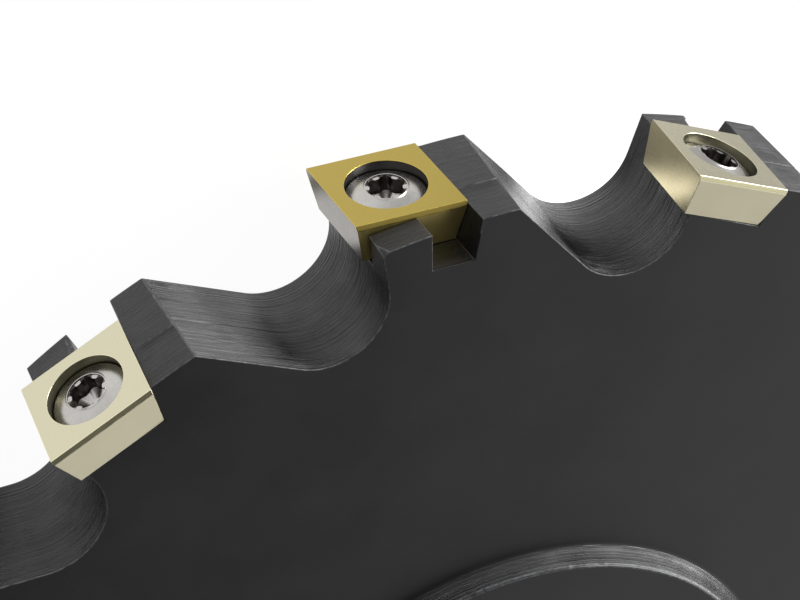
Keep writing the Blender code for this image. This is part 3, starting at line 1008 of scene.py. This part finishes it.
soft_lamp("side_lamp", toward=(-0.95, 0.02, 0.15), distance=1.1, width=1.4, height=0.5, power=23)
soft_lamp("front_lamp", toward=(0.25, -0.75, 0.62), distance=1.1, width=0.8, height=0.8, power=2)

# %% [markdown]
# ## What a tool leaves on metal
#
# Every surface here was cut, ground or turned, and each of those leaves fine parallel lines. One node group
# makes such lines along any coordinate: a height on the axis, a radius, or a place on the insert. A second
# group makes soft patches, for handling marks and for the places where wear went through.

# %% Node groups for tool marks and patches
def new_group(name, output, **inputs):
    """A node group and its inner sockets. Each input has its first value, or None where it is a vector."""
    group = bpy.data.node_groups.new(name, "ShaderNodeTree")
    for socket, value in inputs.items():
        kind = "NodeSocketVector" if value is None else "NodeSocketFloat"
        made = group.interface.new_socket(socket.replace("_", " "), in_out="INPUT", socket_type=kind)
        if value is not None:
            made.default_value = value
    group.interface.new_socket(output, in_out="OUTPUT", socket_type="NodeSocketFloat")
    return group, group.nodes.new("NodeGroupInput").outputs, group.nodes.new("NodeGroupOutput").inputs[output]


def tool_lines_group():
    """Fine parallel lines along a coordinate in metres, broken up here and there."""
    group, given, result = new_group("tool_lines", "Height", Coordinate=0, Place=None, Lines_per_metre=5000)
    drift = wire(group, "TexNoise", Vector=given["Place"], Scale=420, Detail=2).outputs["Fac"]
    wander = maths(group, "MULTIPLY_ADD", drift, 0.12 * MM, given["Coordinate"])
    count = maths(group, "MULTIPLY", wander, given["Lines per metre"])
    lines = wire(group, "TexNoise", set_noise_dimensions="1D", W=count, Scale=1, Detail=3,
                 Roughness=0.65).outputs["Fac"]
    patch = wire(group, "TexNoise", Vector=given["Place"], Scale=260, Detail=2).outputs["Fac"]
    broken = wire(group, "MapRange", Value=patch, From_Min=0.35, From_Max=0.65,
                  To_Min=0.45, To_Max=1).outputs[0]
    group.links.new(maths(group, "MULTIPLY", maths(group, "SUBTRACT", lines, 0.5), broken), result)
    return group


def patches_group():
    """Soft patches between 0 and 1."""
    group, given, result = new_group("patches", "Mask", Place=None, Per_metre=100, Low=0.35, High=0.65)
    noise = wire(group, "TexNoise", Vector=given["Place"], Scale=given["Per metre"], Detail=4,
                 Roughness=0.6).outputs["Fac"]
    mask = wire(group, "MapRange", Value=noise, From_Min=given["Low"], From_Max=given["High"])
    group.links.new(mask.outputs[0], result)
    return group


tool_lines = tool_lines_group()
patches = patches_group()
print("node groups:", [group.name for group in bpy.data.node_groups])

# %% Helpers for writing a finish
def lines_on(material, coordinate, place, per_metre):
    """The height of tool lines, about 0 and up to half of 1 either way."""
    return wire(material, "Group", set_node_tree=tool_lines, Coordinate=coordinate, Place=place,
                Lines_per_metre=per_metre).outputs["Height"]


def patches_on(material, place, per_metre, **limits):
    return wire(material, "Group", set_node_tree=patches, Place=place, Per_metre=per_metre,
                **limits).outputs["Mask"]


def spread(material, mask, low, high):
    """Map a mask's 0..1 to a range."""
    return wire(material, "MapRange", Value=mask, To_Min=low, To_Max=high).outputs[0]


def blend(material, mask, low, high):
    """Blend two colours by a mask. Each may also be the output of an earlier blend."""
    low, high = [tone if isinstance(tone, bpy.types.NodeSocket) else (*tone, 1) for tone in (low, high)]
    return wire(material, "Mix", set_data_type="RGBA", Factor=mask, i6=low, i7=high).outputs[2]


def bumped(material, height, depth):
    return wire(material, "Bump", Height=height, Distance=depth, Strength=1).outputs[0]


def finish(material, **sockets):
    """Set or link the sockets of a material's shader."""
    feed(material.node_tree, material.node_tree.nodes["Principled BSDF"], sockets)


# %% [markdown]
# ## Black oxide
#
# Black oxide is a thin dark layer that keeps every tool mark under it. The disc's faces were turned, so
# their lines are circles; on the rim, the gullets and the hub's wall the lines run round at a constant
# height. One coordinate serves both: the radius where the surface faces up or down, and the height
# elsewhere. The end mill left deeper lines in the gullets than the lathe did on the faces, and finer ones
# on the pockets' floors.

# %% The body's two finishes
TURNED_LINES = 6500
MILLED_LINES = 4200


def turned_or_milled(material):
    """The coordinate across the tool lines, a mask of the turned faces and one of the milled surfaces."""
    where = wire(material, "TexCoord").outputs
    radius = radius_of(material, where["Object"])
    height = parts_of(material, where["Object"])["Z"]
    upright = maths(material, "ABSOLUTE", parts_of(material, where["Normal"])["Z"])
    is_face = maths(material, "GREATER_THAN", upright, 0.9)
    coordinate = wire(material, "Mix", Factor=is_face, A=height, B=radius).outputs["Result"]
    outer = RIM_RADIUS - 0.25 * MM
    inner = HUB_FACE_RADIUS + 5 * MM
    under_rim = maths(material, "COMPARE", radius, (outer + inner) / 2, (outer - inner) / 2)
    milled = maths(material, "SUBTRACT", under_rim, is_face, set_use_clamp=True)
    return where["Object"], coordinate, is_face, milled


def blackened(material):
    """Dark in the valleys of the lines, a little lighter and rougher on their crests."""
    place, coordinate, is_face, milled = turned_or_milled(material)
    pocket = wire(material, "Attribute", set_attribute_name="sheltered").outputs["Fac"]
    lines = lines_on(material, coordinate, place, spread(material, milled, TURNED_LINES, MILLED_LINES))
    depth = maths(material, "ADD", spread(material, is_face, 1, 0.06), spread(material, milled, 0, 0.7))
    height = maths(material, "MULTIPLY", lines,
                   maths(material, "MULTIPLY", depth, spread(material, pocket, 1, 0.25)))
    cloud = patches_on(material, place, 90)
    plain = maths(material, "ADD", spread(material, is_face, 0.30, 0.34), spread(material, milled, 0, -0.11))
    rough = maths(material, "MULTIPLY_ADD", height, 0.35,
                  maths(material, "ADD", plain, spread(material, cloud, 0, 0.04)))
    level = maths(material, "ADD", spread(material, cloud, 0.3, 0.5), spread(material, is_face, 0, -0.1))
    tone = blend(material, maths(material, "MULTIPLY_ADD", height, 5, level), (0.001, 0.001, 0.001),
                 (0.026, 0.026, 0.028))
    finish(material, Base_Color=tone, Roughness=rough, IOR=1.57, Normal=bumped(material, height, 0.2 * MM))


def rubbed_bare(material):
    """Steel that shines through in small patches where the black is worn."""
    place = wire(material, "TexCoord").outputs["Object"]
    worn = patches_on(material, place, 1700, Low=0.36, High=0.76)
    finish(material, Base_Color=blend(material, worn, (0.02, 0.02, 0.021), (0.18, 0.185, 0.195)),
           Roughness=0.42, Metallic=spread(material, worn, 0, 0.6))


blackened(black_oxide)
rubbed_bare(rubbed_edge)
print("black oxide:", len(black_oxide.node_tree.nodes), "nodes")

# %% [markdown]
# ## Coated carbide and bright steel
#
# An insert is ground on its top and its sides, and the coating is only a few microns thick, so the grinding
# lines show through it. They run along the side edge. Top, facet, side and cutting face each get their own
# tone, lighter or darker for the light that falls on each: painted light. On the screw's turned head the
# lines are rings round its axis. All read the places that the pieces remembered before they went to their
# seats.

# %% The inserts' finishes
def remembered(material, name):
    return wire(material, "Attribute", set_attribute_name=name).outputs["Vector"]


def ground_coating_with_painted_light(material, top, facet, side, front):
    """Grinding lines along the side edge, on the top face by place across it and on the sides by depth.

    The top, facet, side and front tones are lighter and darker copies of one coating: painted light.
    """
    place = remembered(material, "seat_place")
    facing = parts_of(material, remembered(material, "seat_facing"))
    upright = maths(material, "ABSOLUTE", facing["Z"])
    is_top = maths(material, "GREATER_THAN", upright, 0.7)
    is_facet = maths(material, "COMPARE", upright, 0.4, 0.2)
    is_front = maths(material, "GREATER_THAN", maths(material, "ABSOLUTE", facing["X"]), 0.7)
    # Painted light: the facet, side and front tones are lighter and darker copies of one coating, for how
    # light falls on each face.
    tone = blend(material, is_facet, blend(material, is_front, side, front), facet)
    where = parts_of(material, place)
    coordinate = wire(material, "Mix", Factor=is_top, A=where["Z"], B=where["Y"]).outputs["Result"]
    lines = lines_on(material, coordinate, place, 9000)
    cloud = patches_on(material, place, 220)
    level = maths(material, "ADD", spread(material, cloud, 0.24, 0.30),
                  spread(material, maths(material, "MAXIMUM", is_top, is_front), 0.14, 0))
    finish(material, Base_Color=blend(material, is_top, tone, top), Metallic=1,
           Roughness=maths(material, "MULTIPLY_ADD", lines, 0.14, level),
           Normal=bumped(material, lines, 0.001 * MM))


def honed_edge_with_painted_highlight(material, dark, light):
    """The narrow round on an insert's edges: a lighter copy of the top's tone as a painted highlight, varied
    in patches where the coating is thinner.
    """
    thin = patches_on(material, remembered(material, "seat_place"), 900, Low=0.4, High=0.6)
    finish(material, Base_Color=blend(material, thin, dark, light), Metallic=1,
           Roughness=spread(material, thin, 0.26, 0.36))


def opening_with_painted_shade(material, dark, light):
    """The opening's wall, painted dark as painted shade inside the hole."""
    place = remembered(material, "seat_place")
    lines = lines_on(material, parts_of(material, place)["Z"], place, 8000)
    tone = blend(material, patches_on(material, place, 300), dark, light)
    finish(material, Base_Color=tone, Roughness=0.36, Metallic=1, Normal=bumped(material, lines, 0.01 * MM))


# Per coat: top, facet, side and front tones, lit and shaded copies of one coating as painted light, and the
# wall's dark tone as painted shade.
looks = [("champagne", (0.67, 0.63, 0.455), (0.54, 0.505, 0.32), (0.80, 0.745, 0.545),
          (0.50, 0.44, 0.27), (0.14, 0.132, 0.09)),
         ("gold", (0.46, 0.352, 0.084), (0.60, 0.46, 0.115), (0.98, 0.80, 0.30),
          (0.23, 0.213, 0.185), (0.062, 0.06, 0.058))]
for coat, top, facet, side, front, wall in looks:
    coating, edge, opening = [bpy.data.materials[coat + part] for part in COAT_PARTS]
    ground_coating_with_painted_light(coating, top, facet, side, front)
    # The edge round is painted lighter than the top, as a painted highlight.
    honed_edge_with_painted_highlight(edge, Vector(top) * 1.2, Vector(top) * 1.35)
    # The wall's tone is painted shade inside the opening.
    opening_with_painted_shade(opening, Vector(wall) * 0.8, Vector(wall) * 1.2)
    print(coat, "top:", top)

# %% The screws' finishes
def turned_bright(material):
    place = remembered(material, "seat_place")
    lines = lines_on(material, radius_of(material, place), place, 12000)
    cloud = patches_on(material, place, 400)
    finish(material, Base_Color=blend(material, cloud, (0.48, 0.467, 0.445), (0.57, 0.552, 0.525)),
           Roughness=maths(material, "MULTIPLY_ADD", lines, 0.3, spread(material, cloud, 0.20, 0.28)),
           Metallic=1, Normal=bumped(material, lines, 0.006 * MM))


def recess_painted_shade(material):
    cloud = patches_on(material, remembered(material, "seat_place"), 700)
    # A dark finish that stands for the shade inside the recess: painted shade.
    finish(material, Base_Color=blend(material, cloud, (0.06, 0.052, 0.047), (0.16, 0.145, 0.135)),
           Roughness=0.35, Metallic=1)


turned_bright(bright_steel)
recess_painted_shade(dark_recess)
print("finishes in use:", [material.name for material in bpy.data.materials if material.users])
